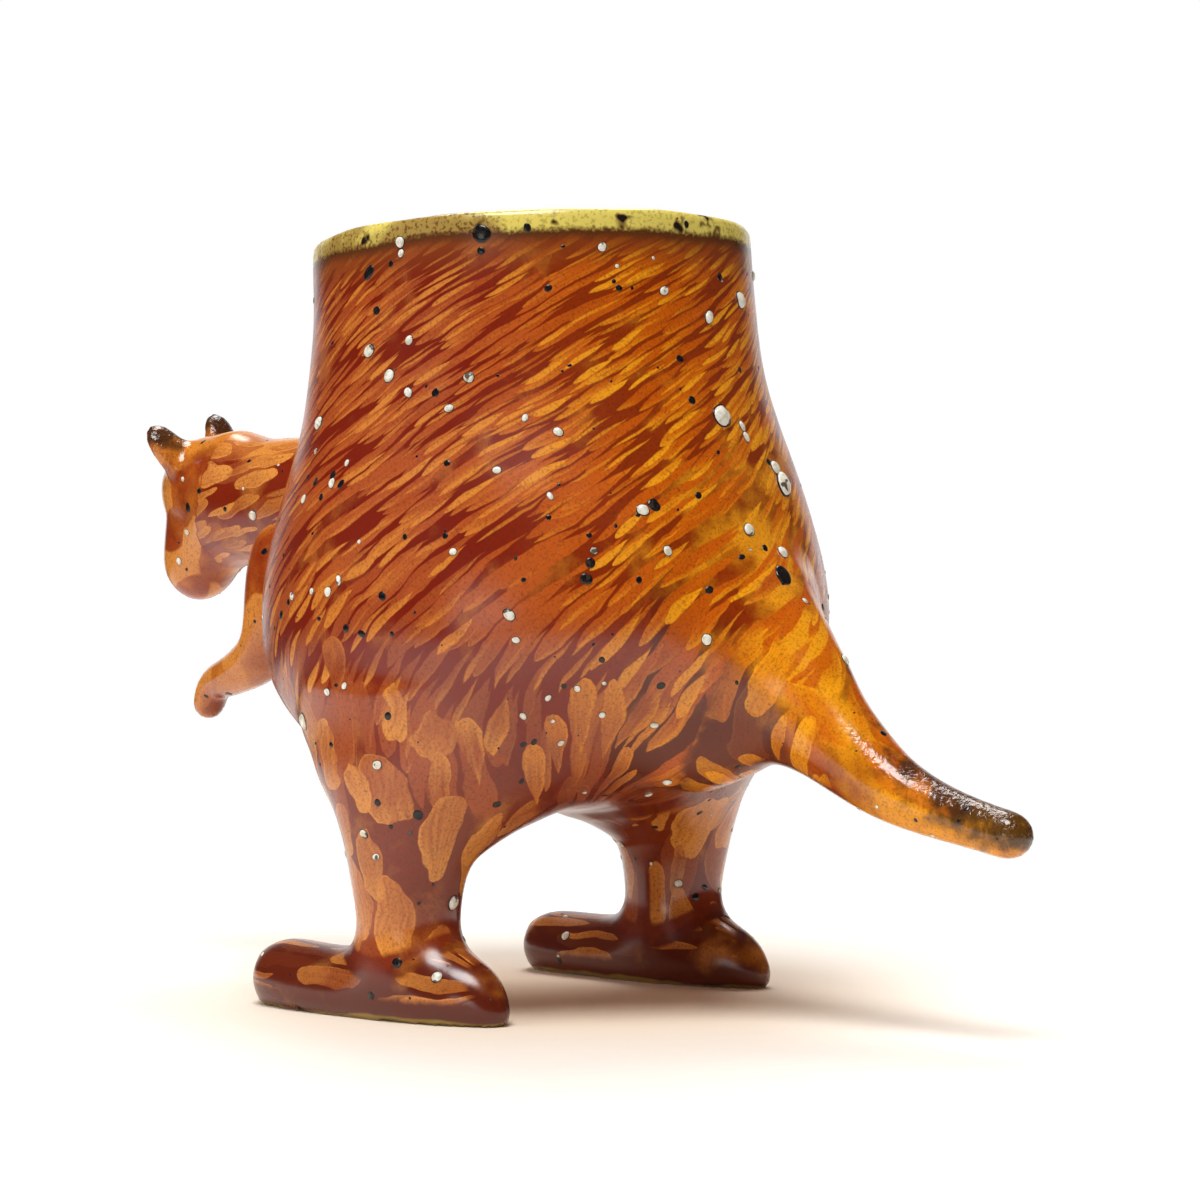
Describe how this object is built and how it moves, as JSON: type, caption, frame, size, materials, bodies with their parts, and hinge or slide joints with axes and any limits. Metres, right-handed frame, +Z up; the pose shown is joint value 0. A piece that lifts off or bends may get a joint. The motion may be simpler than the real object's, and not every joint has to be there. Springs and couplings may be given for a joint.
{
  "type": "animal-shaped tea cup",
  "caption": "Glazed stoneware tea cup shaped as a standing kangaroo: a round-bellied open cup on hind legs with long feet, with a neck and head in front, short arms and a raised tail.",
  "frame": {"origin": "on the ground under the middle of the outline, between the muzzle and the tip of the tail", "axes": "+Z up; the animal looks along -Y, its tail reaches along +Y, and its left side is +X"},
  "size_m": [0.0802, 0.1566, 0.1075],
  "materials": {
    "fur_glaze": "glossy rust-brown glaze with amber brush strokes",
    "light_fur_glaze": "glossy amber-brown glaze with brush strokes"
  },
  "bodies": {
    "root": {"cup_body": "fur_glaze", "neck": "fur_glaze", "head": "light_fur_glaze", "left_ear": "light_fur_glaze", "right_ear": "light_fur_glaze", "left_arm": "light_fur_glaze", "right_arm": "light_fur_glaze", "left_leg": "fur_glaze", "right_leg": "fur_glaze", "left_foot": "fur_glaze", "right_foot": "fur_glaze", "tail": "light_fur_glaze"}
  },
  "joints": []
}
